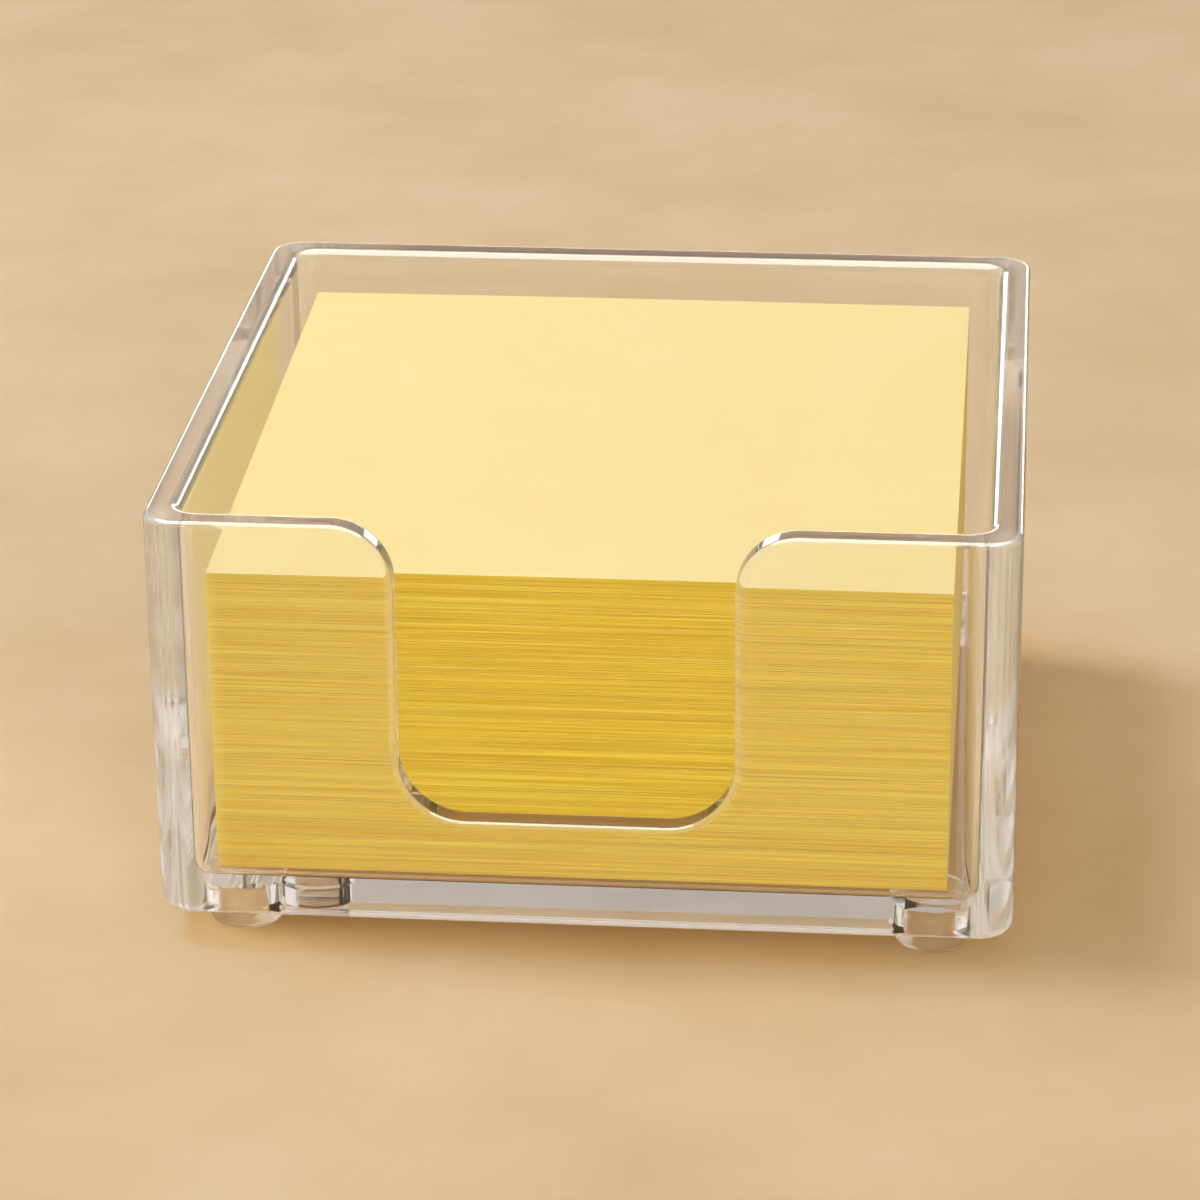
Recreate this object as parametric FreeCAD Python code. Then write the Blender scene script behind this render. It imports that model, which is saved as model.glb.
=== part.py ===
"""Open-topped clear note holder on four rounded feet, with its pads of square notes.

Units are millimetres. The origin is on the standing surface, under the middle of the holder.
+Z is up and -Y is the front, where the finger notch opens the wall.
"""
import FreeCAD, Part
import os

# Square notes in pads, each note a little thicker along its back, where the self-stick strip is
note_side = 76.2
note_thickness = 0.1
note_strip_build = 0.0102
notes_in_full_pad = 100
notes_in_part_used_pad = 34

# Room between the notes and the walls, more at the right and at the back
room_left = 2.4
room_right = 3.4
room_front = 2.3
room_rear = 3.5

# Tray, one moulding round the notes and their room
tray_height = 44.3
wall = 3.5
floor = 3.5
outer_corner_radius = 3.6
inner_corner_radius = 2.2
floor_fillet = 1.5
rim_round_outside = 0.6
rim_round_inside = 1.2
base_round = 1.4

# Finger notch in the front wall, a U whose mouth flares into the rim
notch_width = 34.6
notch_offset = -1.5
notch_sill = 11.9
notch_lower_radius = 7.0
notch_mouth_radius = 6.5

# Feet, set into round pockets in the underside and stuck at the pocket roof
foot_diameter = 8.1
foot_stand = 3.1
foot_edge_radius = 1.0
foot_inset_side = 8.4
foot_inset_end = 6.9
pocket_depth = 2.5
pocket_clearance = 0.1
pocket_lead_in = 0.3
adhesive_thickness = 0.2
adhesive_diameter = 7.2

# The notes from the tray's floor upwards, as (node, how many notes)
note_layers = (
    ("lower_pad", notes_in_full_pad),
    ("middle_pad", notes_in_full_pad),
    ("upper_pad", notes_in_full_pad),
    ("part_used_pad", notes_in_part_used_pad),
    ("top_note", 1),
)

# Sizes and places that follow
tray_width = room_left + note_side + room_right + 2 * wall
tray_depth = room_front + note_side + room_rear + 2 * wall
underside = foot_stand
floor_top = underside + floor
rim_top = underside + tray_height
cut_margin = 2.0
touch = 0.001


def vec(x, y, z):
    """A point or a direction."""
    return FreeCAD.Vector(x, y, z)


def line(start, end):
    """A straight edge."""
    return Part.LineSegment(start, end).toShape()


def quarter_arc(start, end, centre):
    """A quarter circle from start to end about centre."""
    radius = (start - centre).Length
    chord_middle = (start + end) * 0.5
    middle = centre + (chord_middle - centre).normalize() * radius
    return Part.Arc(start, middle, end).toShape()


def rounded_block(width, depth, corner_radius, bottom, top):
    """An upright block with rounded corners in plan, centred on the Z axis."""
    half_width = width / 2
    half_depth = depth / 2
    edges = []
    for sign_x, sign_y in ((1, -1), (1, 1), (-1, 1), (-1, -1)):
        centre = vec(sign_x * (half_width - corner_radius),
                     sign_y * (half_depth - corner_radius), bottom)
        on_side = centre + vec(sign_x * corner_radius, 0, 0)
        on_end = centre + vec(0, sign_y * corner_radius, 0)
        ends = (on_end, on_side) if sign_x * sign_y < 0 else (on_side, on_end)
        if edges:
            edges.append(line(edges[-1].lastVertex(True).Point, ends[0]))
        edges.append(quarter_arc(ends[0], ends[1], centre))
    edges.append(line(edges[-1].lastVertex(True).Point, edges[0].firstVertex(True).Point))
    outline = Part.Face(Part.Wire(edges))
    return outline.extrude(vec(0, 0, top - bottom))


def round_bottom(block, radius):
    """The block with the edges round its lowest face filleted."""
    lowest = block.BoundBox.ZMin
    edges = [edge for edge in block.Edges if edge.BoundBox.ZMax < lowest + touch]
    return block.makeFillet(radius, edges)


def notch_cutter():
    """The solid that the finger notch removes from the front wall."""
    front = -tray_depth / 2 - cut_margin
    left = notch_offset - notch_width / 2
    right = notch_offset + notch_width / 2
    sill = underside + notch_sill
    above = rim_top + cut_margin

    def at(x, z):
        """A point of the notch's outline, in front of the wall."""
        return vec(x, front, z)

    mouth = notch_mouth_radius
    lower = notch_lower_radius
    outline = [
        quarter_arc(at(left - mouth, rim_top), at(left, rim_top - mouth),
                    at(left - mouth, rim_top - mouth)),
        line(at(left, rim_top - mouth), at(left, sill + lower)),
        quarter_arc(at(left, sill + lower), at(left + lower, sill), at(left + lower, sill + lower)),
        line(at(left + lower, sill), at(right - lower, sill)),
        quarter_arc(at(right - lower, sill), at(right, sill + lower),
                    at(right - lower, sill + lower)),
        line(at(right, sill + lower), at(right, rim_top - mouth)),
        quarter_arc(at(right, rim_top - mouth), at(right + mouth, rim_top),
                    at(right + mouth, rim_top - mouth)),
        line(at(right + mouth, rim_top), at(right + mouth, above)),
        line(at(right + mouth, above), at(left - mouth, above)),
        line(at(left - mouth, above), at(left - mouth, rim_top)),
    ]
    face = Part.Face(Part.Wire(outline))
    return face.extrude(vec(0, wall + 2 * cut_margin, 0))


def rim_edges(tray, skin):
    """The edges where the rim and the notch meet the walls' outer faces, or their inner faces."""
    found = []
    notch_reach = notch_width / 2 + notch_mouth_radius
    for edge in tray.Edges:
        middle = edge.valueAt((edge.FirstParameter + edge.LastParameter) / 2)
        on_top = middle.z > rim_top - touch
        in_notch = (abs(middle.x - notch_offset) < notch_reach
                    and middle.y < 0
                    and middle.z > underside + notch_sill - touch)
        if not (on_top or in_notch):
            continue
        if skin.distToShape(Part.Vertex(middle))[0] < touch:
            found.append(edge)
    return found


def upright_faces(block):
    """The vertical faces of a block, as one shell of faces."""
    faces = []
    for face in block.Faces:
        u_min, u_max, v_min, v_max = face.ParameterRange
        normal = face.normalAt((u_min + u_max) / 2, (v_min + v_max) / 2)
        if abs(normal.z) < touch:
            faces.append(face)
    return Part.Compound(faces)


def foot_places():
    """Name and centre of each foot, as (name, x, y)."""
    x = tray_width / 2 - foot_inset_side
    y = tray_depth / 2 - foot_inset_end
    return (
        ("front_left", -x, -y),
        ("front_right", x, -y),
        ("rear_left", -x, y),
        ("rear_right", x, y),
    )


def pocket_cutter(x, y):
    """The round pocket that takes a foot, with its lead-in at the mouth."""
    radius = foot_diameter / 2 + pocket_clearance
    bore = Part.makeCylinder(radius, pocket_depth, vec(x, y, underside))
    mouth = Part.makeCone(radius + pocket_lead_in, radius, pocket_lead_in, vec(x, y, underside))
    return bore.fuse(mouth)


def holder_body():
    """The clear tray: walls, floor, finger notch, and the pockets for the feet."""
    outer = rounded_block(tray_width, tray_depth, outer_corner_radius, underside, rim_top)
    cavity = rounded_block(tray_width - 2 * wall, tray_depth - 2 * wall, inner_corner_radius,
                           floor_top, rim_top + cut_margin)
    skins = (upright_faces(outer), upright_faces(cavity))
    outer = round_bottom(outer, base_round)
    cavity = round_bottom(cavity, floor_fillet)
    tray = outer.cut(cavity).cut(notch_cutter())
    for radius, skin in zip((rim_round_outside, rim_round_inside), skins):
        tray = tray.makeFillet(radius, rim_edges(tray, skin))
    for _name, x, y in foot_places():
        tray = tray.cut(pocket_cutter(x, y))
    return tray


def foot(x, y):
    """A clear foot: a plug in the pocket and a rounded tread below the tray."""
    radius = foot_diameter / 2
    plug_top = underside + pocket_depth - adhesive_thickness
    tread_radius = radius - foot_edge_radius

    def at(r, z):
        """A point of the foot's half profile."""
        return vec(r, 0, z)

    profile = [
        line(at(0, 0), at(tread_radius, 0)),
        quarter_arc(at(tread_radius, 0), at(radius, foot_edge_radius),
                    at(tread_radius, foot_edge_radius)),
        line(at(radius, foot_edge_radius), at(radius, plug_top)),
        line(at(radius, plug_top), at(0, plug_top)),
        line(at(0, plug_top), at(0, 0)),
    ]
    face = Part.Face(Part.Wire(profile))
    solid = face.revolve(vec(0, 0, 0), vec(0, 0, 1), 360)
    solid.translate(vec(x, y, 0))
    return solid


def foot_adhesive(x, y):
    """The disc of clear adhesive between a foot and the roof of its pocket."""
    roof = underside + pocket_depth
    return Part.makeCylinder(adhesive_diameter / 2, adhesive_thickness,
                             vec(x, y, roof - adhesive_thickness))


def notes(below, count):
    """A pad of count notes, or one note, lying on the given number of notes below it."""
    front = -tray_depth / 2 + wall + room_front
    back = front + note_side
    left = -tray_width / 2 + wall + room_left
    back_thickness = note_thickness + note_strip_build
    corners = [
        vec(left, front, floor_top + below * note_thickness),
        vec(left, back, floor_top + below * back_thickness),
        vec(left, back, floor_top + (below + count) * back_thickness),
        vec(left, front, floor_top + (below + count) * note_thickness),
    ]
    side = Part.Face(Part.makePolygon(corners + corners[:1]))
    return side.extrude(vec(note_side, 0, 0))


def save(shape, node):
    """Write one sub-part."""
    shape.exportStep("parts/" + node + ".step")


def main():
    """Build and write every sub-part."""
    os.makedirs("parts", exist_ok=True)
    save(holder_body(), "holder_body")
    for name, x, y in foot_places():
        save(foot(x, y), "foot_" + name)
        save(foot_adhesive(x, y), "foot_adhesive_" + name)
    below = 0
    for node, count in note_layers:
        save(notes(below, count), node)
        below += count


main()
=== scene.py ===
"""The clear square note holder and its pads of notes, dressed for rendering.

Lengths in the fields below are millimetres, apart from the lamps', and angles are degrees. The
meshes are in metres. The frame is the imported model's: the origin on the standing surface under the
middle of the holder, +Z up, and the wall with the finger notch at -Y.
"""
import logging
import math
import random
from dataclasses import dataclass, field
from enum import Enum
from typing import Callable

import bmesh
import bpy
from mathutils import Matrix, Vector


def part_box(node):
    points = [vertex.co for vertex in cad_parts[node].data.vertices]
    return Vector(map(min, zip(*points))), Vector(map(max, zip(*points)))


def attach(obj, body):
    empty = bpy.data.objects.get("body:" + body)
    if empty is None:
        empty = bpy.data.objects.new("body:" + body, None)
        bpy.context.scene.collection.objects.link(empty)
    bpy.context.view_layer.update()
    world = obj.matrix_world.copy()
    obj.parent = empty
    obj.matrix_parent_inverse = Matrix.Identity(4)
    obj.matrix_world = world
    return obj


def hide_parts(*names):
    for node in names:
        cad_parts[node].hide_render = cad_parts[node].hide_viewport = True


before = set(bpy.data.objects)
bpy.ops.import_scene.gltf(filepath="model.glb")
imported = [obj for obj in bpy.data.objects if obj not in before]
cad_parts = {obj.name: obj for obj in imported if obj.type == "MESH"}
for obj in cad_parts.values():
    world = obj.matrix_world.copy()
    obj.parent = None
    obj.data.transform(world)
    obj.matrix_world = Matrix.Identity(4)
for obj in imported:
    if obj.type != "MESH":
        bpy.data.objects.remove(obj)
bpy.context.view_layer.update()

MM = 0.001
CLOSE = 1e-6
MERGED = 1e-7
JUST_UNDER = 0.999
FLAT_FACES_WEIGHT = 100
SEED_STRIDE = 1000
FULL_PAD = 100
PART_USED_PAD = 34
TOP_NOTE_STEPS = 24
OVER_LEFT = (-0.41, 0.10, 0.70)
AT_NOTES = (0.0, 0.0, 0.02)
AT_RIM = (0.0, 0.0, 0.04)
LOG = logging.getLogger("note_holder")

Pair = tuple[float, float]
Triple = tuple[float, float, float]
Rgba = tuple[float, float, float, float]


class PaperSlot(Enum):
    """Material slots of a note's mesh."""

    FACE = 0
    CUT_EDGE = 1


class Axis(Enum):
    """A direction along one of the frame's axes."""

    X = 0
    Y = 1
    Z = 2


def linear(red: int, green: int, blue: int) -> Rgba:
    """Turn a display colour into a shader colour.

    Args:
        red: red from 0 to 255.
        green: green from 0 to 255.
        blue: blue from 0 to 255.

    Returns:
        The linear colour with an alpha of 1.
    """
    brightest, toe, slope, shift, power = 255.0, 0.04045, 12.92, 0.055, 2.4
    out = []
    for part in (red, green, blue):
        value = part / brightest
        out.append(value / slope if value <= toe else ((value + shift) / (1.0 + shift)) ** power)
    return (out[0], out[1], out[2], 1.0)


# ---------------------------------------------------------------------------------- materials


class NodeSheet:
    """The node tree of a new material or world, with short ways to add and join nodes."""

    def __init__(self, owner: bpy.types.Material | bpy.types.World, output: str) -> None:
        """Empty the owner's tree and give it an output.

        Args:
            owner: the material or world that the tree belongs to.
            output: the type name of its output node.
        """
        self.owner = owner
        self.owner.use_nodes = True
        self.tree = self.owner.node_tree
        self.tree.nodes.clear()
        self.output = self.add(output)

    @classmethod
    def of_material(cls, name: str) -> "NodeSheet":
        """Start the tree of a new material with this name."""
        return cls(bpy.data.materials.new(name), "ShaderNodeOutputMaterial")

    @classmethod
    def of_world(cls, name: str) -> "NodeSheet":
        """Start the tree of a new world with this name."""
        return cls(bpy.data.worlds.new(name), "ShaderNodeOutputWorld")

    def add(self, kind: str, **values: object) -> bpy.types.Node:
        """Add a node.

        Args:
            kind: the node's type name.
            **values: settings of the node itself, such as operation.

        Returns:
            The new node.
        """
        node = self.tree.nodes.new(kind)
        for key, value in values.items():
            setattr(node, key, value)
        return node

    def join(self, source: bpy.types.NodeSocket, target: bpy.types.NodeSocket) -> None:
        """Link an output to an input."""
        self.tree.links.new(source, target)

    def compute(self, operation: str, *values: float | bpy.types.NodeSocket
                ) -> bpy.types.NodeSocket:
        """Work out a value.

        Args:
            operation: the sum, such as ADD or MULTIPLY_ADD.
            *values: what goes into it, in order, as numbers or sockets.

        Returns:
            The result's socket.
        """
        node = self.add("ShaderNodeMath", operation=operation)
        for target, value in zip(node.inputs, values):
            if isinstance(value, bpy.types.NodeSocket):
                self.join(value, target)
            else:
                target.default_value = value
        return node.outputs["Value"]

    def place(self, scale: Triple) -> bpy.types.NodeSocket:
        """Object coordinates stretched by a scale.

        Args:
            scale: how many pattern units there are to a metre along X, Y and Z.

        Returns:
            The stretched coordinates' socket.
        """
        coordinates = self.add("ShaderNodeTexCoord")
        mapping = self.add("ShaderNodeMapping")
        mapping.inputs["Scale"].default_value = scale
        self.join(coordinates.outputs["Object"], mapping.inputs["Vector"])
        return mapping.outputs["Vector"]

    def parts(self, vector: bpy.types.NodeSocket) -> bpy.types.bpy_prop_collection:
        """Split a vector.

        Args:
            vector: the vector's socket.

        Returns:
            Its three sockets, called X, Y and Z.
        """
        node = self.add("ShaderNodeSeparateXYZ")
        self.join(vector, node.inputs["Vector"])
        return node.outputs

    def painted(self, attribute: str) -> bpy.types.NodeSocket:
        """Read a number that the mesh carries on its faces."""
        return self.add("ShaderNodeAttribute", attribute_name=attribute).outputs["Fac"]

    def noise(self, scale: Triple, detail: float = 3.0,
              roughness: float = 0.5) -> bpy.types.NodeSocket:
        """A cloud pattern in object coordinates.

        Args:
            scale: how many pattern units there are to a metre along X, Y and Z.
            detail: how many finer layers it has.
            roughness: how strong the finer layers are.

        Returns:
            The pattern's value, around 0.5.
        """
        noise = self.add("ShaderNodeTexNoise")
        noise.inputs["Scale"].default_value = 1.0
        noise.inputs["Detail"].default_value = detail
        noise.inputs["Roughness"].default_value = roughness
        self.join(self.place(scale), noise.inputs["Vector"])
        return noise.outputs["Fac"]

    def spread(self, value: bpy.types.NodeSocket, source: Pair,
               target: Pair = (0.0, 1.0)) -> bpy.types.NodeSocket:
        """Stretch a range of values to another.

        Args:
            value: the value read.
            source: the range read, as (lowest, highest).
            target: what that range becomes.

        Returns:
            The stretched value, held within the new range.
        """
        node = self.add("ShaderNodeMapRange")
        node.inputs["From Min"].default_value = source[0]
        node.inputs["From Max"].default_value = source[1]
        node.inputs["To Min"].default_value = target[0]
        node.inputs["To Max"].default_value = target[1]
        self.join(value, node.inputs["Value"])
        return node.outputs["Result"]

    def blend(self, amount: bpy.types.NodeSocket, first: Rgba | bpy.types.NodeSocket,
              second: Rgba | bpy.types.NodeSocket) -> bpy.types.NodeSocket:
        """Mix two colours by a value.

        Args:
            amount: 0 for the first colour and 1 for the second.
            first: a colour, or a socket that gives one.
            second: a colour, or a socket that gives one.

        Returns:
            The mixed colour.
        """
        node = self.add("ShaderNodeMix", data_type="RGBA")
        for key, colour in (("A_Color", first), ("B_Color", second)):
            target = next(socket for socket in node.inputs if socket.identifier == key)
            if isinstance(colour, bpy.types.NodeSocket):
                self.join(colour, target)
            else:
                target.default_value = colour
        self.join(amount, node.inputs["Factor"])
        return next(socket for socket in node.outputs if socket.identifier == "Result_Color")

    def switch(self, rays: tuple[str, ...], shown: bpy.types.NodeSocket,
               instead: bpy.types.NodeSocket) -> bpy.types.NodeSocket:
        """Show some kinds of ray another shader.

        Args:
            rays: the kinds, as the light path node names them.
            shown: the shader that every other ray meets.
            instead: the shader that these rays meet.

        Returns:
            The shader that tells them apart.
        """
        path = self.add("ShaderNodeLightPath")
        for kind in rays:
            mix = self.add("ShaderNodeMixShader")
            self.join(path.outputs[kind], mix.inputs["Fac"])
            self.join(shown, mix.inputs[1])
            self.join(instead, mix.inputs[2])
            shown = mix.outputs["Shader"]
        return shown

    def bump(self, height: bpy.types.NodeSocket, strength: float,
             distance: float) -> bpy.types.NodeSocket:
        """Small relief from a pattern.

        Args:
            height: the pattern.
            strength: how much of it is felt, from 0 to 1.
            distance: the relief's depth, in millimetres.

        Returns:
            The bent normal.
        """
        node = self.add("ShaderNodeBump")
        node.inputs["Strength"].default_value = strength
        node.inputs["Distance"].default_value = distance * MM
        self.join(height, node.inputs["Height"])
        return node.outputs["Normal"]

    def finish(self, shader: bpy.types.NodeSocket) -> bpy.types.Material | bpy.types.World:
        """Use a shader as the owner's surface and return the owner."""
        self.join(shader, self.output.inputs["Surface"])
        return self.owner


@dataclass(frozen=True)
class ClearPlastic:
    """A clear, polished or satin plastic that soft light passes through.

    Its shade colours the light that goes on through it: shade higher up, and low_shade below
    low_height. Corner and edge haze make it less clear by that much in an upright corner, and on
    faces whose edge attribute is 1.
    """

    name: str
    tint: Rgba
    ior: float
    smoothest: float
    roughest: float
    haze_scale: float
    shade: Rgba
    low_shade: Rgba
    haze_range: Pair = (0.45, 0.75)
    haze_detail: float = 2.0
    low_height: float = 7.0
    low_fade: float = 1.4
    clearness: float = 0.985
    satin: float = 0.0
    satin_from: float = 40.5
    satin_fade: float = 0.5
    corner_haze: float = 0.0
    corner_from: float = 39.5
    corner_to: float = 42.0
    edge_attribute: str = "edge"
    edge_haze: float = 0.12

    def material(self) -> bpy.types.Material:
        """Make the material.

        Returns:
            Clear plastic with faint hazy patches, whose shadow is as pale as its shade.
        """
        sheet = NodeSheet.of_material(self.name)
        body = sheet.add("ShaderNodeBsdfPrincipled")
        body.inputs["Base Color"].default_value = self.tint
        body.inputs["IOR"].default_value = self.ior
        spot = sheet.parts(sheet.place((1.0, 1.0, 1.0)))
        aside, along = (sheet.compute("ABSOLUTE", spot[axis]) for axis in ("X", "Y"))
        haze = sheet.noise((self.haze_scale,) * 3, detail=self.haze_detail)
        rough = sheet.spread(haze, self.haze_range, (self.smoothest, self.roughest))
        satin = sheet.spread(aside, (self.satin_from * MM, (self.satin_from + self.satin_fade) * MM),
                             (0.0, self.satin))
        sheet.join(sheet.compute("ADD", rough, satin), body.inputs["Roughness"])
        in_corner = (self.corner_from * MM, self.corner_to * MM)
        clear = sheet.spread(sheet.compute("MINIMUM", aside, along), in_corner,
                             (self.clearness, self.clearness - self.corner_haze))
        edge = sheet.painted(self.edge_attribute)
        sheet.join(sheet.compute("MULTIPLY_ADD", edge, -self.edge_haze, clear),
                   body.inputs["Transmission Weight"])
        up = sheet.spread(spot["Z"], ((self.low_height - self.low_fade) * MM, self.low_height * MM))
        lets_light_on = sheet.add("ShaderNodeBsdfTransparent")
        sheet.join(sheet.blend(up, self.low_shade, self.shade), lets_light_on.inputs["Color"])
        return sheet.finish(sheet.switch(("Is Diffuse Ray", "Is Shadow Ray"), body.outputs["BSDF"],
                                         lets_light_on.outputs["BSDF"]))


@dataclass(frozen=True)
class NoteFace:
    """The flat side of a note: smooth uncoated paper, pale yellow."""

    name: str = "note_face"
    light: Rgba = linear(246, 225, 161)
    deep: Rgba = linear(245, 222, 154)
    cloud_scale: float = 55.0
    cloud_detail: float = 4.0
    cloud_roughness: float = 0.6
    cloud_range: Pair = (0.35, 0.65)
    fibre_scale: Triple = (2600.0, 1560.0, 2600.0)
    fibre_strength: float = 0.35
    fibre_relief: float = 0.02
    roughness: float = 0.85
    gloss: float = 0.08

    def material(self) -> bpy.types.Material:
        """Make the material.

        Returns:
            Paper with soft clouds in its colour and a fine fibre relief.
        """
        sheet = NodeSheet.of_material(self.name)
        paper = sheet.add("ShaderNodeBsdfPrincipled")
        pattern = sheet.noise((self.cloud_scale,) * 3, self.cloud_detail, self.cloud_roughness)
        clouds = sheet.spread(pattern, self.cloud_range)
        sheet.join(sheet.blend(clouds, self.light, self.deep), paper.inputs["Base Color"])
        paper.inputs["Roughness"].default_value = self.roughness
        paper.inputs["Specular IOR Level"].default_value = self.gloss
        fibres = sheet.noise(self.fibre_scale)
        relief = sheet.bump(fibres, self.fibre_strength, self.fibre_relief)
        sheet.join(relief, paper.inputs["Normal"])
        return sheet.finish(paper.outputs["BSDF"])


@dataclass(frozen=True)
class NoteEdge:
    """The cut edges of the notes: deeper yellow, streaked along the sheets."""

    name: str = "note_edge"
    light: Rgba = linear(255, 237, 104)
    deep: Rgba = linear(213, 174, 26)
    # Painted light: a paler yellow painted on the edges near the stack's left side, a painted glow
    # for light shining through the sheets.
    painted_glow: Rgba = linear(255, 243, 140)
    painted_glow_from: float = -38.6
    painted_glow_width: float = 1.2
    painted_glow_strength: float = 0.45
    streak_scale: Triple = (45.0, 45.0, 6500.0)
    streak_detail: float = 2.0
    streak_roughness: float = 0.6
    streak_range: Pair = (0.3, 0.7)
    streak_share: float = 0.65
    streak_strength: float = 0.5
    streak_relief: float = 0.03
    tone_attribute: str = "tone"
    tone_share: float = 0.35
    roughness: float = 0.8
    gloss: float = 0.08

    def material(self) -> bpy.types.Material:
        """Make the material.

        Returns:
            Paper edges whose tone changes from sheet to sheet and fades along each sheet, and that
            are painted a little paler at the left, a painted glow for light coming through the
            sheets.
        """
        sheet = NodeSheet.of_material(self.name)
        paper = sheet.add("ShaderNodeBsdfPrincipled")
        pattern = sheet.noise(self.streak_scale, self.streak_detail, self.streak_roughness)
        streaks = sheet.spread(pattern, self.streak_range)
        tone = sheet.compute("MULTIPLY", sheet.painted(self.tone_attribute), self.tone_share)
        depth = sheet.compute("MULTIPLY_ADD", streaks, self.streak_share, tone)
        colour = sheet.blend(depth, self.light, self.deep)
        spot = sheet.parts(sheet.place((1.0, 1.0, 1.0)))
        # Painted light: near the stack's left side the edge colour is blended towards the paler glow
        # colour, a painted glow where light would come through the sheets.
        at_left = (self.painted_glow_from * MM, (self.painted_glow_from + self.painted_glow_width) * MM)
        near = sheet.spread(spot["X"], at_left, (self.painted_glow_strength, 0.0))
        sheet.join(sheet.blend(near, colour, self.painted_glow), paper.inputs["Base Color"])
        paper.inputs["Roughness"].default_value = self.roughness
        paper.inputs["Specular IOR Level"].default_value = self.gloss
        relief = sheet.bump(streaks, self.streak_strength, self.streak_relief)
        sheet.join(relief, paper.inputs["Normal"])
        return sheet.finish(paper.outputs["BSDF"])


@dataclass(frozen=True)
class TableTop:
    """The plain pale surface that the holder stands on."""

    name: str = "table_top"
    light: Rgba = linear(222, 196, 161)
    deep: Rgba = linear(211, 183, 144)
    cloud_scale: float = 22.0
    cloud_detail: float = 5.0
    cloud_roughness: float = 0.6
    cloud_range: Pair = (0.35, 0.65)
    roughness: float = 0.8
    gloss: float = 0.06

    def material(self) -> bpy.types.Material:
        """Make the material.

        Returns:
            A pale matt surface with barely seen clouds.
        """
        sheet = NodeSheet.of_material(self.name)
        top = sheet.add("ShaderNodeBsdfPrincipled")
        pattern = sheet.noise((self.cloud_scale,) * 3, self.cloud_detail, self.cloud_roughness)
        clouds = sheet.spread(pattern, self.cloud_range)
        sheet.join(sheet.blend(clouds, self.light, self.deep), top.inputs["Base Color"])
        top.inputs["Roughness"].default_value = self.roughness
        top.inputs["Specular IOR Level"].default_value = self.gloss
        return sheet.finish(top.outputs["BSDF"])


CLEAR_ACRYLIC = ClearPlastic(
    "clear_acrylic", tint=(0.985, 0.985, 0.985, 1.0), ior=1.49, smoothest=0.0, roughest=0.02,
    haze_scale=60.0, shade=(0.985, 0.985, 0.98, 1.0), low_shade=(0.92, 0.79, 0.56, 1.0), satin=0.06,
    corner_haze=0.16)
CLEAR_RUBBER = ClearPlastic(
    "clear_rubber", tint=(0.98, 0.98, 0.97, 1.0), ior=1.43, smoothest=0.0, roughest=0.04,
    haze_scale=300.0, shade=(0.94, 0.94, 0.92, 1.0), low_shade=(0.94, 0.92, 0.88, 1.0),
    clearness=0.88)
CLEAR_ADHESIVE = ClearPlastic(
    "clear_adhesive", tint=(0.97, 0.97, 0.95, 1.0), ior=1.47, smoothest=0.04, roughest=0.12,
    haze_scale=700.0, shade=(0.9, 0.9, 0.88, 1.0), low_shade=(0.9, 0.9, 0.88, 1.0))


# ------------------------------------------------------------------------------ mesh workshop


def block(low: Vector, high: Vector) -> bmesh.types.BMesh:
    """An upright box between two corners.

    Args:
        low: its lowest corner in metres.
        high: its highest corner in metres.

    Returns:
        The box as a new bmesh.
    """
    mesh = bmesh.new()
    bmesh.ops.create_cube(mesh, size=1.0)
    bmesh.ops.scale(mesh, vec=high - low, verts=mesh.verts)
    bmesh.ops.translate(mesh, vec=(low + high) / 2, verts=mesh.verts)
    return mesh


def runs_along(edge: bmesh.types.BMEdge, axis: Axis) -> bool:
    """Say whether an edge runs along an axis."""
    span = edge.verts[1].co - edge.verts[0].co
    return abs(span[axis.value]) > JUST_UNDER * span.length


def round_edges(mesh: bmesh.types.BMesh, radius: float, steps: int,
                wanted: Callable[[bmesh.types.BMEdge], bool]) -> list[bmesh.types.BMFace]:
    """Round the wanted edges of a mesh.

    Args:
        mesh: the mesh changed.
        radius: the rounding's width from the edge, in metres.
        steps: how many faces the rounding has.
        wanted: says which edges are rounded.

    Returns:
        The rounding's faces.
    """
    edges = [edge for edge in mesh.edges if wanted(edge)]
    made = bmesh.ops.bevel(mesh, geom=edges, offset=radius, offset_type="OFFSET",
                           segments=steps, profile=0.5, affect="EDGES",
                           clamp_overlap=False, material=-1)
    return made["faces"]


def rounded_block(low: Vector, high: Vector, corner: float, bottom: float, steps: int
                  ) -> bmesh.types.BMesh:
    """A box with round upright corners and a round bottom edge.

    Args:
        low: its lowest corner in metres.
        high: its highest corner in metres.
        corner: the upright corners' radius in metres.
        bottom: the bottom edge's radius in metres.
        steps: how many faces each rounding has.

    Returns:
        The box as a new bmesh.
    """
    mesh = block(low, high)
    round_edges(mesh, corner, steps, lambda edge: runs_along(edge, Axis.Z))
    floor = low.z + MERGED
    round_edges(mesh, bottom, steps,
                lambda edge: all(vertex.co.z < floor for vertex in edge.verts))
    return mesh


def to_object(mesh: bmesh.types.BMesh, name: str) -> bpy.types.Object:
    """Put a mesh into a new object in the scene, and free the bmesh.

    Args:
        mesh: the mesh used.
        name: the object's name.

    Returns:
        The object.
    """
    data = bpy.data.meshes.new(name)
    mesh.to_mesh(data)
    mesh.free()
    made = bpy.data.objects.new(name, data)
    bpy.context.scene.collection.objects.link(made)
    return made


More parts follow.
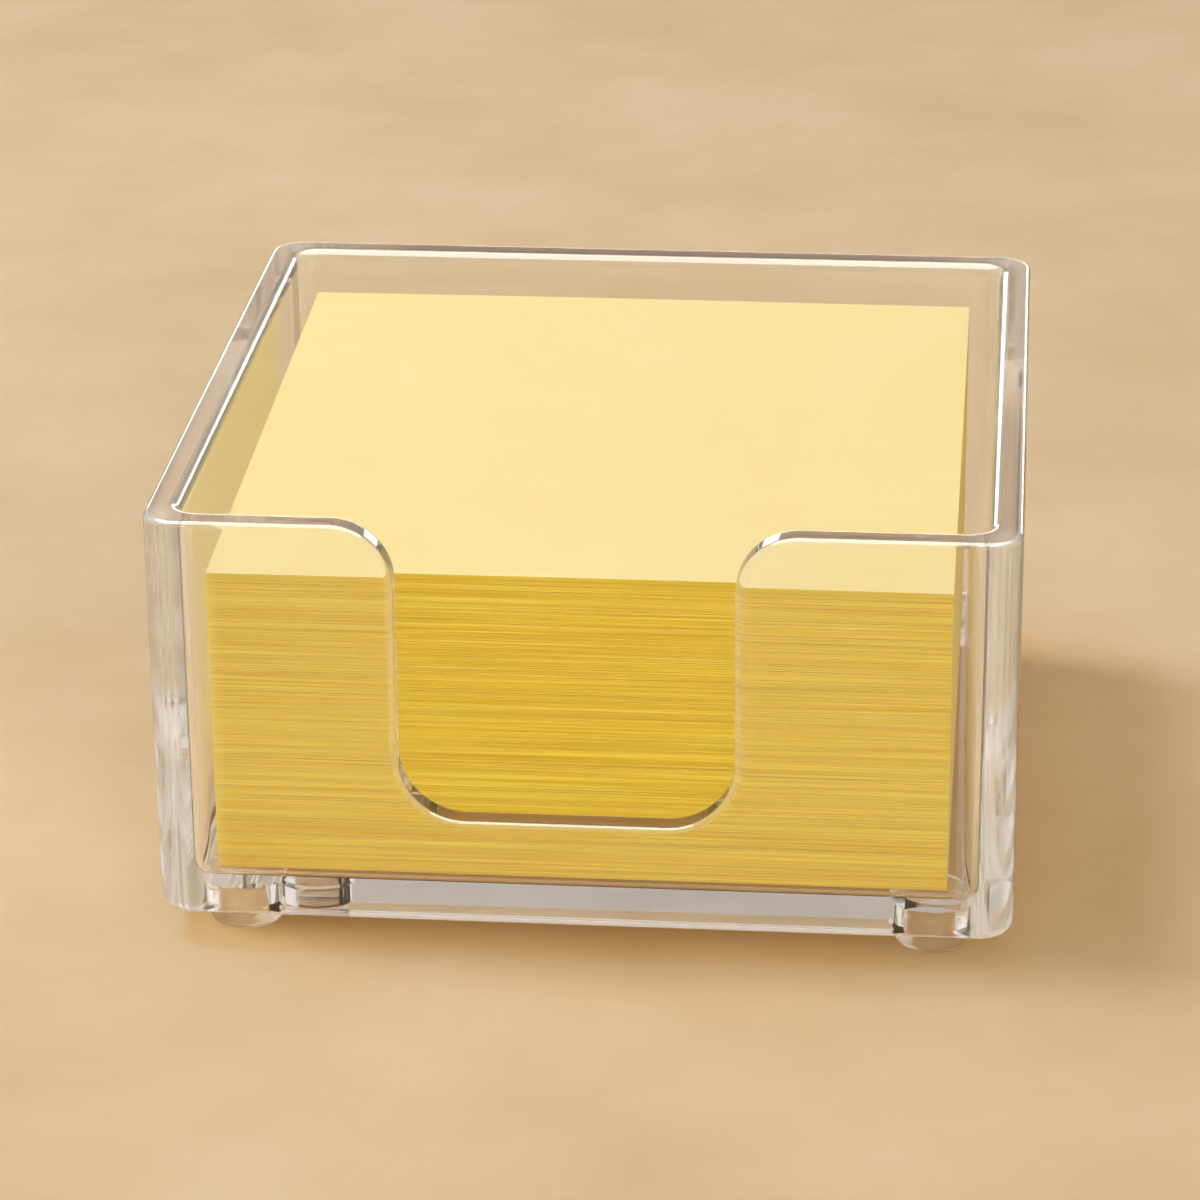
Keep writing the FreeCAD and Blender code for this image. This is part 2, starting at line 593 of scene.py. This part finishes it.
def cut_away(body: bpy.types.Object, cutters: list[bpy.types.Object]) -> bmesh.types.BMesh:
    """Take cutters away from a body, and remove all of them from the scene.

    Args:
        body: the object that is cut.
        cutters: the objects that cut it, one after another.

    Returns:
        What is left of the body, as a new bmesh.
    """
    for cutter in cutters:
        step = body.modifiers.new(cutter.name, "BOOLEAN")
        step.operation = "DIFFERENCE"
        step.solver = "EXACT"
        step.object = cutter
    graph = bpy.context.evaluated_depsgraph_get()
    data = bpy.data.meshes.new_from_object(body.evaluated_get(graph))
    mesh = bmesh.new()
    mesh.from_mesh(data)
    bpy.data.meshes.remove(data)
    for used in (body, *cutters):
        bpy.data.objects.remove(used)
    bmesh.ops.remove_doubles(mesh, verts=mesh.verts, dist=MERGED)
    return mesh


def shade_smooth(made: bpy.types.Object, crease: float) -> None:
    """Shade an object smooth between its creases, with its large faces kept flat.

    Args:
        made: the object.
        crease: the angle in degrees from which an edge stays sharp.
    """
    mesh = bmesh.new()
    mesh.from_mesh(made.data)
    for face in mesh.faces:
        face.smooth = True
    limit = math.radians(crease)
    for edge in mesh.edges:
        edge.smooth = len(edge.link_faces) == 2 and edge.calc_face_angle(0.0) < limit
    mesh.to_mesh(made.data)
    mesh.free()
    weights = made.modifiers.new("flat_faces_stay_flat", "WEIGHTED_NORMAL")
    weights.mode = "FACE_AREA"
    weights.weight = FLAT_FACES_WEIGHT
    weights.keep_sharp = True
    graph = bpy.context.evaluated_depsgraph_get()
    dressed = bpy.data.meshes.new_from_object(made.evaluated_get(graph))
    dressed.name = made.data.name
    made.modifiers.clear()
    bare = made.data
    made.data = dressed
    bpy.data.meshes.remove(bare)


def settle(made: bpy.types.Object, body: str, nodes: tuple[str, ...],
           materials: list[bpy.types.Material]) -> None:
    """Dress a finished piece and fix it to the frame.

    Args:
        made: the piece.
        body: the body it moves with.
        nodes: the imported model's nodes it stands for.
        materials: its materials, in slot order.
    """
    for material in materials:
        made.data.materials.append(material)
    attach(made, body)
    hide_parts(*nodes)
    LOG.info("%s: %d faces on %s", made.name, len(made.data.polygons), body)


# ------------------------------------------------------------------------------------- holder


@dataclass
class Tray:
    """The clear moulded tray, with its finger notch and the pockets for its feet.

    What cuts the tray stands out of it by spare, and the notch's slab lies over_rim above it.
    """

    wall: float = 3.5
    floor: float = 3.5
    outer_corner: float = 3.6
    inner_corner: float = 2.2
    floor_fillet: float = 1.5
    base_round: float = 1.4
    rim_round_outside: float = 0.6
    rim_round_inside: float = 1.2
    inside_haze: float = 0.5
    notch_width: float = 34.6
    notch_offset: float = -1.5
    notch_sill: float = 11.9
    notch_lower_radius: float = 7.0
    notch_mouth_radius: float = 6.5
    pocket_radius: float = 4.15
    pocket_depth: float = 2.5
    pocket_lead_in: float = 0.3
    corner_steps: int = 36
    rim_steps: int = 12
    pocket_steps: int = 128
    node: str = "holder_body"
    spare: float = 2.0
    over_rim: float = 0.01
    rim_angle: float = 50.0
    crease: float = 42.0
    low: Vector = field(init=False)
    high: Vector = field(init=False)

    def __post_init__(self) -> None:
        """Read the tray's outer corners from the frame."""
        self.low, self.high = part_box(self.node)

    def cavity(self) -> bpy.types.Object:
        """Make the solid that the notes' room takes out of the tray.

        Returns:
            A block with round corners that stands out over the rim.
        """
        wall = Vector((self.wall, self.wall, 0.0)) * MM
        low = self.low + wall + Vector((0.0, 0.0, self.floor * MM))
        high = self.high - wall + Vector((0.0, 0.0, self.spare * MM))
        mesh = rounded_block(low, high, self.inner_corner * MM, self.floor_fillet * MM,
                             self.corner_steps)
        return to_object(mesh, "cavity")

    def notch(self) -> bpy.types.Object:
        """Make the solid that the finger notch takes out of the front wall.

        Returns:
            A slab over the rim with a tongue down to the sill, rounded where they meet.
        """
        middle = self.notch_offset * MM
        half = self.notch_width / 2 * MM
        reach = half + self.notch_mouth_radius * MM
        rim = self.high.z + self.over_rim * MM
        sill = self.low.z + self.notch_sill * MM
        front = self.low.y - self.spare * MM
        back = self.low.y + (self.wall + self.spare) * MM
        mesh = block(Vector((middle - reach, front, rim)),
                     Vector((middle + reach, back, rim + self.spare * MM)))
        for side in (-half, half):
            bmesh.ops.bisect_plane(mesh, geom=[*mesh.verts, *mesh.edges, *mesh.faces],
                                   plane_co=(middle + side, 0.0, 0.0), plane_no=(1.0, 0.0, 0.0))
        under = [face for face in mesh.faces
                 if face.normal.z < -JUST_UNDER
                 and abs(face.calc_center_median().x - middle) < half]
        grown = bmesh.ops.extrude_face_region(mesh, geom=under)
        bmesh.ops.delete(mesh, geom=under, context="FACES_ONLY")
        tip = [part for part in grown["geom"] if isinstance(part, bmesh.types.BMVert)]
        bmesh.ops.translate(mesh, vec=(0.0, 0.0, sill - rim), verts=tip)
        bmesh.ops.recalc_face_normals(mesh, faces=mesh.faces)

        def at_tongue(edge: bmesh.types.BMEdge, height: float) -> bool:
            """Say whether an edge is one of the tongue's.

            Args:
                edge: the edge looked at.
                height: how high up the tongue's edge is, in metres.

            Returns:
                True where the edge runs through the wall there.
            """
            point = edge.verts[0].co
            beside = abs(abs(point.x - middle) - half) < CLOSE
            return runs_along(edge, Axis.Y) and beside and abs(point.z - height) < CLOSE

        round_edges(mesh, self.notch_lower_radius * MM, self.corner_steps,
                    lambda edge: at_tongue(edge, sill))
        round_edges(mesh, self.notch_mouth_radius * MM * JUST_UNDER, self.corner_steps,
                    lambda edge: at_tongue(edge, rim))
        return to_object(mesh, "notch")

    def pockets(self, places: list[Vector]) -> bpy.types.Object:
        """Make the plugs that the feet's pockets take out of the underside.

        Args:
            places: the middle of each foot.

        Returns:
            One object of round plugs, each wider at its mouth.
        """
        mesh = bmesh.new()
        roof = self.low.z + self.pocket_depth * MM
        mouth = self.low.z - self.spare * MM
        lead_top = self.low.z + self.pocket_lead_in * MM
        for place in places:
            turn = Matrix.Translation((place.x, place.y, (roof + mouth) / 2))
            bmesh.ops.create_cone(mesh, cap_ends=True, cap_tris=False,
                                  segments=self.pocket_steps,
                                  radius1=self.pocket_radius * MM,
                                  radius2=self.pocket_radius * MM,
                                  depth=roof - mouth, matrix=turn)
        for height in (self.low.z, lead_top):
            bmesh.ops.bisect_plane(mesh, geom=[*mesh.verts, *mesh.edges, *mesh.faces],
                                   plane_co=(0.0, 0.0, height), plane_no=(0.0, 0.0, 1.0))
        wider = (self.pocket_radius + self.pocket_lead_in) / self.pocket_radius
        for place in places:
            low_ring = [vertex for vertex in mesh.verts
                        if vertex.co.z < self.low.z + CLOSE
                        and (vertex.co.xy - place.xy).length < 2 * self.pocket_radius * MM]
            centre = Matrix.Translation((-place.x, -place.y, 0.0))
            bmesh.ops.scale(mesh, vec=(wider, wider, 1.0), space=centre, verts=low_ring)
        return to_object(mesh, "pockets")

    def rim(self, outside: bool) -> Callable[[bmesh.types.BMEdge], bool]:
        """Say which of the cut tray's edges are its rim's, on one skin of its walls.

        Args:
            outside: true for the outer skin, and false for the one round the notes.

        Returns:
            A test that is true for the edges where the top and the notch meet that skin.
        """
        near = 2 * CLOSE
        skin = self.low.y + (0.0 if outside else self.wall * MM)
        between = self.high.x - self.wall / 2 * MM
        reach = (self.notch_width / 2 + self.notch_mouth_radius) * MM + near
        sill = self.low.z + self.notch_sill * MM - near
        sharp = math.radians(self.rim_angle)

        def is_rim(edge: bmesh.types.BMEdge) -> bool:
            """Say whether one edge is the rim's.

            Args:
                edge: the edge looked at.

            Returns:
                True on the wanted skin, along the top and round the notch.
            """
            if len(edge.link_faces) != 2 or edge.calc_face_angle(0.0) < sharp:
                return False
            ends = [vertex.co for vertex in edge.verts]
            middle = (ends[0] + ends[1]) / 2
            if (max(abs(middle.x), abs(middle.y)) > between) != outside:
                return False
            if all(end.z > self.high.z - near for end in ends):
                return True
            at_skin = all(abs(end.y - skin) < near for end in ends)
            in_notch = all(end.z > sill and abs(end.x - self.notch_offset * MM) < reach
                           for end in ends)
            return at_skin and in_notch and not runs_along(edge, Axis.Y)

        return is_rim

    def build(self, places: list[Vector]) -> bpy.types.Object:
        """Model the tray and fix it to the frame.

        Args:
            places: the middle of each foot.

        Returns:
            The finished tray.
        """
        shell = rounded_block(self.low, self.high, self.outer_corner * MM,
                              self.base_round * MM, self.corner_steps)
        cutters = [self.cavity(), self.notch(), self.pockets(places)]
        mesh = cut_away(to_object(shell, "tray_block"), cutters)
        edge = mesh.faces.layers.float.new("edge")
        for outside, radius, haze in ((True, self.rim_round_outside, 1.0),
                                      (False, self.rim_round_inside, self.inside_haze)):
            for face in round_edges(mesh, radius * MM, self.rim_steps, self.rim(outside)):
                face[edge] = haze
        tray = to_object(mesh, "clear_tray")
        shade_smooth(tray, self.crease)
        settle(tray, "holder", (self.node,), [CLEAR_ACRYLIC.material()])
        return tray


@dataclass
class Feet:
    """The four clear feet, and the adhesive discs over them."""

    edge_radius: float = 1.0
    plug_edge: float = 0.15
    film_gap: float = 0.01
    film_edge: float = 0.05
    steps: int = 72
    edge_steps: int = 8
    plug_steps: int = 3
    film_steps: int = 2
    crease: float = 50.0
    places: tuple[str, ...] = ("front_left", "front_right", "rear_left", "rear_right")

    def middles(self) -> list[Vector]:
        """Give the middle of each foot's tread.

        Returns:
            One point on the standing surface for each place.
        """
        out = []
        for place in self.places:
            low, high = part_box("foot_" + place)
            middle = (low + high) / 2
            out.append(Vector((middle.x, middle.y, low.z)))
        return out

    def disc(self, node: str, shrink: float) -> bmesh.types.BMesh:
        """A round plug that fills a node's box.

        Args:
            node: the node it stands for.
            shrink: how much lower its top and higher its bottom are, in millimetres.

        Returns:
            The plug as a new bmesh.
        """
        low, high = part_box(node)
        radius = (high.x - low.x) / 2
        middle = (low + high) / 2
        mesh = bmesh.new()
        bmesh.ops.create_cone(mesh, cap_ends=True, cap_tris=False, segments=self.steps,
                              radius1=radius, radius2=radius,
                              depth=high.z - low.z - 2 * shrink * MM,
                              matrix=Matrix.Translation(middle))
        return mesh

    def build(self) -> list[bpy.types.Object]:
        """Model the feet and their adhesive, and fix them to the frame.

        Returns:
            The eight finished pieces.
        """
        rubber = CLEAR_RUBBER.material()
        film = CLEAR_ADHESIVE.material()
        made = []
        for place in self.places:
            made.append(self.foot("foot_" + place, rubber))
            made.append(self.adhesive("foot_adhesive_" + place, film))
        return made

    def foot(self, node: str, rubber: bpy.types.Material) -> bpy.types.Object:
        """Model one foot.

        Args:
            node: the node it stands for.
            rubber: its material.

        Returns:
            A round foot with a well rounded tread and a slightly rounded plug.
        """
        mesh = self.disc(node, 0.0)
        low = min(vertex.co.z for vertex in mesh.verts) + CLOSE
        high = max(vertex.co.z for vertex in mesh.verts) - CLOSE
        round_edges(mesh, self.edge_radius * MM, self.edge_steps,
                    lambda edge: all(vertex.co.z < low for vertex in edge.verts))
        round_edges(mesh, self.plug_edge * MM, self.plug_steps,
                    lambda edge: all(vertex.co.z > high for vertex in edge.verts))
        foot = to_object(mesh, "clear_" + node)
        shade_smooth(foot, self.crease)
        settle(foot, "holder", (node,), [rubber])
        return foot

    def adhesive(self, node: str, film: bpy.types.Material) -> bpy.types.Object:
        """Model one adhesive disc.

        Args:
            node: the node it stands for.
            film: its material.

        Returns:
            A thin disc with soft edges, a hair away from the foot and the pocket's roof.
        """
        mesh = self.disc(node, self.film_gap)
        round_edges(mesh, self.film_edge * MM, self.film_steps,
                    lambda edge: abs(edge.verts[0].co.z - edge.verts[1].co.z) < MERGED)
        disc = to_object(mesh, "clear_" + node)
        shade_smooth(disc, self.crease)
        settle(disc, "holder", (node,), [film])
        return disc


# -------------------------------------------------------------------------------------- notes


@dataclass
class Stack:
    """What all the notes share: their size, their wedge and the way they lie."""

    side: float = 76.2
    left: float = -38.6
    front: float = -38.7
    floor: float = 6.6
    pitch_front: float = 0.1
    pitch_back: float = 0.1102
    sheet: float = 0.088
    total: int = 335
    seed: int = 20
    wave_count: int = 9
    wave_height: float = 0.017
    wave_turn_along: Pair = (0.02, 0.12)
    wave_turn_up: Pair = (0.10, 0.55)
    wave_size: Pair = (0.4, 1.0)
    wave_slant: float = 0.35
    calm_below: float = 12.0
    calm_above: float = 4.0
    calm_top: float = 0.2
    droop: float = 0.25
    waves: list[tuple[float, float, float, float]] = field(init=False, default_factory=list)

    def __post_init__(self) -> None:
        """Draw the waves that the sheets lie in."""
        draw = random.Random(self.seed)
        for _ in range(self.wave_count):
            along = draw.uniform(*self.wave_turn_along) * draw.choice((-1, 1))
            up = draw.uniform(*self.wave_turn_up)
            phase = draw.uniform(0.0, math.tau)
            self.waves.append((along, up, phase, draw.uniform(*self.wave_size)))

    def lie(self, x: float, y: float, index: float) -> float:
        """How much higher or lower than even spacing a sheet lies.

        Args:
            x: the place along the front, in millimetres.
            y: the place from front to back, in millimetres.
            index: the sheet's number from the bottom.

        Returns:
            The shift in millimetres.
        """
        shift = 0.0
        for along, up, phase, size in self.waves:
            turn = along * x + self.wave_slant * along * y + up * index + phase
            shift += size * math.sin(turn)
        from_top = (self.total - index) / self.calm_above + self.calm_top
        loose = min(1.0, index / self.calm_below) * min(1.0, from_top)
        return self.wave_height * shift * loose

    def height(self, x: float, y: float, index: float) -> float:
        """The underside of a sheet over a place.

        Args:
            x: the place along the front, in millimetres.
            y: the place from front to back, in millimetres.
            index: the sheet's number from the bottom.

        Returns:
            The height in millimetres.
        """
        back = (y - self.front) / self.side
        pitch = self.pitch_front + (self.pitch_back - self.pitch_front) * back
        aside = (x - self.left) / self.side - 0.5
        droop = self.droop * (index / self.total) ** 2 * aside ** 2
        return self.floor + index * pitch + self.lie(x, y, index) - droop


@dataclass
class Pad:
    """Some notes that lie together, from one place in the stack to another."""

    node: str
    body: str
    below: int
    count: int
    stack: Stack
    steps_across: int = 10
    steps_deep: int = 1
    ragged: float = 0.012
    set_back: Pair = (0.04, 0.12)
    set_back_chance: float = 0.16
    bow_waves: int = 3
    bow_turn: Pair = (0.02, 0.2)
    bow_size: Pair = (0.0, 0.01)
    rear_share: float = 0.4
    rear_most: float = 0.2
    tone_hold: float = 0.3
    margin: float = 0.02
    tone: float = field(init=False, default=0.0)

    def sheet(self, mesh: bmesh.types.BMesh, index: int, draw: random.Random) -> None:
        """Add one note to a mesh.

        Args:
            mesh: the mesh that takes it.
            index: the note's number in the whole stack, from the bottom.
            draw: where its small differences come from.
        """
        stack = self.stack
        if draw.random() > self.tone_hold:
            self.tone = draw.random()
        back = draw.uniform(*self.set_back) if draw.random() < self.set_back_chance else 0.0
        shift_x = draw.gauss(0.0, self.ragged)
        shift_y = abs(draw.gauss(0.0, self.ragged)) + back
        bow = [(draw.uniform(*self.bow_turn), draw.uniform(0.0, math.tau),
                draw.uniform(*self.bow_size)) for _ in range(self.bow_waves)]
        rear_shift = min(shift_y, self.rear_most) * self.rear_share
        made = bmesh.ops.create_grid(mesh, x_segments=self.steps_across,
                                     y_segments=self.steps_deep, size=0.5)
        base = made["verts"]
        faces = {face for vertex in base for face in vertex.link_faces}
        grown = bmesh.ops.extrude_face_region(mesh, geom=list(faces))
        top = {part for part in grown["geom"] if isinstance(part, bmesh.types.BMVert)}
        for vertex in [*base, *top]:
            x = stack.left + (vertex.co.x + 0.5) * stack.side + shift_x
            y = stack.front + (vertex.co.y + 0.5) * stack.side
            wobble = sum(size * math.sin(turn * x + phase) for turn, phase, size in bow)
            y += wobble + (shift_y if vertex.co.y < 0.0 else rear_shift)
            z = stack.height(x, y, index) + self.margin
            z += stack.sheet if vertex in top else 0.0
            vertex.co = Vector((x, y, z)) * MM
        tones = mesh.faces.layers.float["tone"]
        for face in {face for vertex in [*base, *top] for face in vertex.link_faces}:
            face.normal_update()
            face[tones] = self.tone
            on_edge = abs(face.normal.z) < 0.5
            face.material_index = (PaperSlot.CUT_EDGE if on_edge else PaperSlot.FACE).value

    def build(self, materials: list[bpy.types.Material]) -> bpy.types.Object:
        """Model the pad's notes and fix them to the frame.

        Args:
            materials: the paper's face and edge materials.

        Returns:
            The finished pad.
        """
        draw = random.Random(self.stack.seed * SEED_STRIDE + self.below)
        self.tone = draw.random()
        mesh = bmesh.new()
        mesh.faces.layers.float.new("tone")
        for index in range(self.below, self.below + self.count):
            self.sheet(mesh, index, draw)
        bmesh.ops.recalc_face_normals(mesh, faces=mesh.faces)
        pad = to_object(mesh, self.node + "_sheets")
        settle(pad, self.body, (self.node,), materials)
        return pad


# ------------------------------------------------------------------------------------- studio


@dataclass
class Lamp:
    """One soft rectangular lamp, with its places and sizes in metres.

    It shines on plain surfaces, in gloss and through clear plastic, as lights, mirrored and
    refracted say.
    """

    name: str
    place: Triple
    aim: Triple
    width: float
    height: float
    watts: float
    colour: Triple = (1.0, 1.0, 1.0)
    mirrored: bool = True
    refracted: bool = True
    lights: bool = True

    def build(self) -> bpy.types.Object:
        """Hang the lamp.

        Returns:
            The lamp, turned towards what it lights.
        """
        data = bpy.data.lights.new(self.name, "AREA")
        data.shape = "RECTANGLE"
        data.size = self.width
        data.size_y = self.height
        data.energy = self.watts
        data.color = self.colour
        lamp = bpy.data.objects.new(self.name, data)
        bpy.context.scene.collection.objects.link(lamp)
        lamp.location = self.place
        towards = Vector(self.aim) - Vector(self.place)
        lamp.rotation_euler = towards.to_track_quat("-Z", "Y").to_euler()
        lamp.visible_diffuse = self.lights
        lamp.visible_glossy = self.mirrored
        lamp.visible_transmission = self.refracted
        lamp.visible_camera = False
        return lamp


@dataclass
class Studio:
    """The floor, the lamps, the room's light and the camera.

    The room that clear plastic mirrors has a front, sides and a back, each as stops of a height
    and how bright it is there. The sides and the back come in between the two values of y that
    beside_from and behind_from give.
    """

    floor_half: float = 4000.0
    floor_gap: float = 0.05
    azimuth: float = 5.577
    elevation: float = 23.024
    roll: float = -0.533
    distance: float = 505.4
    lens: float = 137.0
    shift_right: float = -2.04
    shift_up: float = -2.45
    aim_height: float = 24.0
    sensor: float = 36.0
    nearest: float = 10.0
    farthest: float = 20000.0
    bounces: int = 24
    glossy_bounces: int = 12
    room_light: Rgba = (0.465, 0.408, 0.29, 1.0)
    seen_in_front: tuple[Pair, ...] = (
        (0.0, 0.30), (0.10, 0.30), (0.30, 0.70), (0.60, 0.95), (0.80, 0.80))
    seen_beside: tuple[Pair, ...] = (
        (0.0, 0.30), (0.15, 0.50), (0.30, 0.90), (0.60, 1.00), (0.80, 0.80))
    seen_behind: tuple[Pair, ...] = (
        (0.0, 0.30), (0.08, 0.60), (0.20, 0.90), (0.41, 0.85), (0.435, 0.56), (0.50, 0.50),
        (0.58, 0.90), (0.85, 0.80))
    seen_tint: Triple = (1.0, 0.94, 0.895)
    behind_tint: Triple = (1.0, 0.90, 0.81)
    beside_from: Pair = (-0.6, -0.3)
    behind_from: Pair = (0.70, 0.82)
    lamps: list[Lamp] = field(default_factory=lambda: [
        Lamp("key", OVER_LEFT, AT_NOTES, width=0.23, height=0.23, watts=2.95,
             colour=(0.91, 1.02, 1.25), mirrored=False, refracted=False),
        Lamp("softbox", OVER_LEFT, AT_NOTES, width=0.23, height=0.23, watts=3.0, lights=False),
        Lamp("front", (0.30, -0.95, 0.50), AT_NOTES, width=0.9, height=0.5, watts=5.0,
             colour=(1.02, 0.98, 0.82), mirrored=False, refracted=False),
        Lamp("ceiling", (0.0, -0.05, 0.95), AT_RIM, width=1.40, height=1.40, watts=63.0,
             lights=False, refracted=False),
        Lamp("rear", (0.0, 2.0, 0.42), AT_RIM, width=1.8, height=0.42, watts=13.0,
             lights=False, refracted=False),
    ])

    def build_floor(self) -> bpy.types.Object:
        """Lay the plain floor just under the feet.

        Returns:
            The floor.
        """
        mesh = bmesh.new()
        bmesh.ops.create_grid(mesh, x_segments=1, y_segments=1, size=self.floor_half * MM)
        bmesh.ops.translate(mesh, vec=(0.0, 0.0, -self.floor_gap * MM), verts=mesh.verts)
        floor = to_object(mesh, "floor")
        floor.data.materials.append(TableTop().material())
        return floor

    def wall(self, sheet: NodeSheet, height: bpy.types.NodeSocket, stops: tuple[Pair, ...],
             tint: Triple) -> bpy.types.NodeSocket:
        """Colour one side of the room from the floor upwards.

        Args:
            sheet: the world's node tree.
            height: how far up the view points, from -1 to 1.
            stops: a height and how bright the wall is there, from the lowest.
            tint: the wall's colour where it is brightest.

        Returns:
            The wall's colour.
        """
        ramp = sheet.add("ShaderNodeValToRGB")
        while len(ramp.color_ramp.elements) < len(stops):
            ramp.color_ramp.elements.new(0.5)
        for stop, (position, level) in zip(ramp.color_ramp.elements, stops):
            stop.position = position
            stop.color = tuple(level * part for part in tint) + (1.0,)
        sheet.join(height, ramp.inputs["Fac"])
        return ramp.outputs["Color"]

    def build_room(self) -> bpy.types.World:
        """Light the room evenly, and let clear plastic mirror a room with lit walls.

        Returns:
            The world.
        """
        sheet = NodeSheet.of_world("room")
        light, seen = (sheet.add("ShaderNodeBackground") for _ in range(2))
        light.inputs["Color"].default_value = self.room_light
        towards = sheet.parts(sheet.add("ShaderNodeTexCoord").outputs["Generated"])
        shown = self.wall(sheet, towards["Z"], self.seen_in_front, self.seen_tint)
        for stops, tint, fade in ((self.seen_beside, self.seen_tint, self.beside_from),
                                  (self.seen_behind, self.behind_tint, self.behind_from)):
            shown = sheet.blend(sheet.spread(towards["Y"], fade), shown,
                                self.wall(sheet, towards["Z"], stops, tint))
        sheet.join(shown, seen.inputs["Color"])
        world = sheet.finish(sheet.switch(
            ("Is Camera Ray", "Is Glossy Ray", "Is Transmission Ray"),
            light.outputs["Background"], seen.outputs["Background"]))
        bpy.context.scene.world = world
        return world

    def build_camera(self) -> bpy.types.Object:
        """Set up the camera in front of the holder, a little to the right and above it.

        Returns:
            The camera.
        """
        turn, tilt = math.radians(self.azimuth), math.radians(self.elevation)
        back = Vector((math.sin(turn) * math.cos(tilt), -math.cos(turn) * math.cos(tilt),
                       math.sin(tilt)))
        right = Vector((math.cos(turn), math.sin(turn), 0.0))
        up = back.cross(right)
        aim = Vector((0.0, 0.0, self.aim_height)) + right * self.shift_right + up * self.shift_up
        roll = math.radians(self.roll)
        across = right * math.cos(roll) + up * math.sin(roll)
        upright = up * math.cos(roll) - right * math.sin(roll)
        place = (aim + back * self.distance) * MM
        data = bpy.data.cameras.new("camera")
        data.lens = self.lens
        data.sensor_width = self.sensor
        data.clip_start = self.nearest * MM
        data.clip_end = self.farthest * MM
        camera = bpy.data.objects.new("camera", data)
        bpy.context.scene.collection.objects.link(camera)
        axes = Matrix((across, upright, back)).transposed().to_4x4()
        camera.matrix_world = Matrix.Translation(place) @ axes
        bpy.context.scene.camera = camera
        return camera

    def build(self) -> None:
        """Set up everything round the holder."""
        self.build_floor()
        self.build_room()
        for lamp in self.lamps:
            lamp.build()
        self.build_camera()
        scene = bpy.context.scene
        scene.view_settings.view_transform = "Standard"
        scene.cycles.max_bounces = self.bounces
        scene.cycles.transmission_bounces = self.bounces
        scene.cycles.transparent_max_bounces = self.bounces
        scene.cycles.glossy_bounces = self.glossy_bounces
        LOG.info("studio: %d lamps", len(self.lamps))


def main() -> None:
    """Build every piece in order, then the studio round them."""
    logging.basicConfig(level=logging.INFO, format="%(name)s: %(message)s")
    feet = Feet()
    Tray().build(feet.middles())
    feet.build()
    stack = Stack()
    paper = [NoteFace().material(), NoteEdge().material()]
    below = 0
    for node, body, count in (("lower_pad", "lower_notes", FULL_PAD),
                              ("middle_pad", "middle_notes", FULL_PAD),
                              ("upper_pad", "upper_notes", FULL_PAD),
                              ("part_used_pad", "part_used_notes", PART_USED_PAD)):
        Pad(node, body, below, count, stack).build(paper)
        below += count
    Pad("top_note", "single_note", below, 1, stack, steps_across=TOP_NOTE_STEPS,
        steps_deep=TOP_NOTE_STEPS, set_back_chance=0.0).build(paper)
    Studio().build()


if __name__ == "__main__":
    main()
